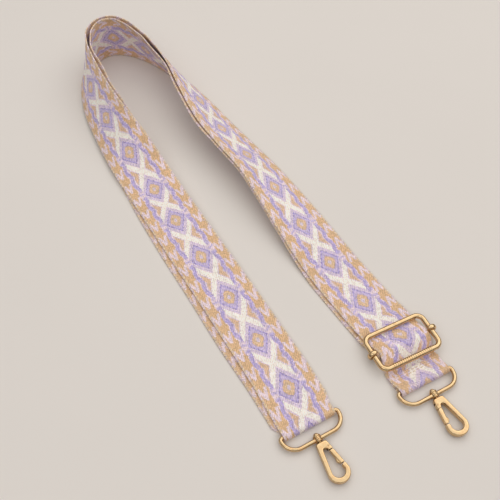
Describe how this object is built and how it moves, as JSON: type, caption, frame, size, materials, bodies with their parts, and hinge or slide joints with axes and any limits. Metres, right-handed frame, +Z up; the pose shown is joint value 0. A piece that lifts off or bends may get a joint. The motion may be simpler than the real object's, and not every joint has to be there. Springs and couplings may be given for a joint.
{
  "type": "bag strap",
  "caption": "Wide woven bag strap with a pattern of diamonds and X's, a metal slider, and a swivel snap hook at each end, laid out doubled in a U.",
  "frame": {"origin": "middle of the strap's outline on the surface that it lies on", "axes": "+Y from the hooks to the bend, along the legs; +Z up from the surface; +X from the plain leg to the leg with the slider"},
  "size_m": [0.1672, 0.563, 0.0503],
  "materials": {
    "webbing": "woven jacquard, matt",
    "thread": "matt thread",
    "pale_gold": "polished pale gold plating",
    "spring_steel": "bright drawn wire"
  },
  "bodies": {
    "strap": {"outer_run": "webbing", "return_run": "webbing", "left_ring_loop": "webbing", "right_sewn_fold": "webbing", "fold_stitching": "thread", "outer_adjusting_stretch": "webbing", "return_adjusting_stretch": "webbing"},
    "left_ring_body": {"left_ring": "pale_gold"},
    "left_hook": {"left_hook_body": "pale_gold", "left_swivel_rivet": "pale_gold", "left_gate_pin": "pale_gold", "left_gate_spring": "spring_steel"},
    "left_gate_lever": {"left_gate": "pale_gold"},
    "right_ring_body": {"right_ring": "pale_gold"},
    "right_hook": {"right_hook_body": "pale_gold", "right_swivel_rivet": "pale_gold", "right_gate_pin": "pale_gold", "right_gate_spring": "spring_steel"},
    "right_gate_lever": {"right_gate": "pale_gold"},
    "slider_bar_body": {"slider_bar": "pale_gold", "slider_crossing": "webbing", "slider_sewn_fold": "webbing"},
    "slider_frame_body": {"slider_frame": "pale_gold"}
  },
  "joints": [
    {"name": "left_ring_tilt", "type": "hinge", "parent": "strap", "child": "left_ring_body", "pos_m": [-0.05484, -0.21396, 0.0035], "axis": [0.9998, -0.0175, 0], "range_deg": [-140, 135]},
    {"name": "left_hook_swivel", "type": "hinge", "parent": "left_ring_body", "child": "left_hook", "pos_m": [-0.05514, -0.23116, 0.0035], "axis": [0.0175, 0.9998, 0], "continuous": true},
    {"name": "left_gate_push", "type": "hinge", "parent": "left_hook", "child": "left_gate_lever", "pos_m": [-0.05143, -0.23643, 0.0035], "axis": [0, 0, -1], "range_deg": [0, 22], "stiffness_Nm_per_rad": 0.05, "springref_deg": -17.19, "deforming": ["left_gate_spring"]},
    {"name": "right_ring_tilt", "type": "hinge", "parent": "strap", "child": "right_ring_body", "pos_m": [0.04596, -0.22976, 0.0035], "axis": [0.9994, -0.0349, 0], "range_deg": [-140, 135]},
    {"name": "right_hook_swivel", "type": "hinge", "parent": "right_ring_body", "child": "right_hook", "pos_m": [0.04536, -0.24695, 0.0035], "axis": [0.0349, 0.9994, 0], "continuous": true},
    {"name": "right_gate_push", "type": "hinge", "parent": "right_hook", "child": "right_gate_lever", "pos_m": [0.04138, -0.25202, 0.0035], "axis": [0, 0, 1], "range_deg": [0, 22], "stiffness_Nm_per_rad": 0.05, "springref_deg": -17.19, "deforming": ["right_gate_spring"]},
    {"name": "slider_adjust", "type": "slide", "parent": "strap", "child": "slider_bar_body", "axis": [-0.0576, 0.9983, 0], "range_m": [0, 0.06], "deforming": ["outer_adjusting_stretch", "return_adjusting_stretch"]},
    {"name": "slider_frame_shift", "type": "slide", "parent": "slider_bar_body", "child": "slider_frame_body", "axis": [0.0698, 0.9976, 0], "range_m": [-0.0035, 0.0035]}
  ]
}
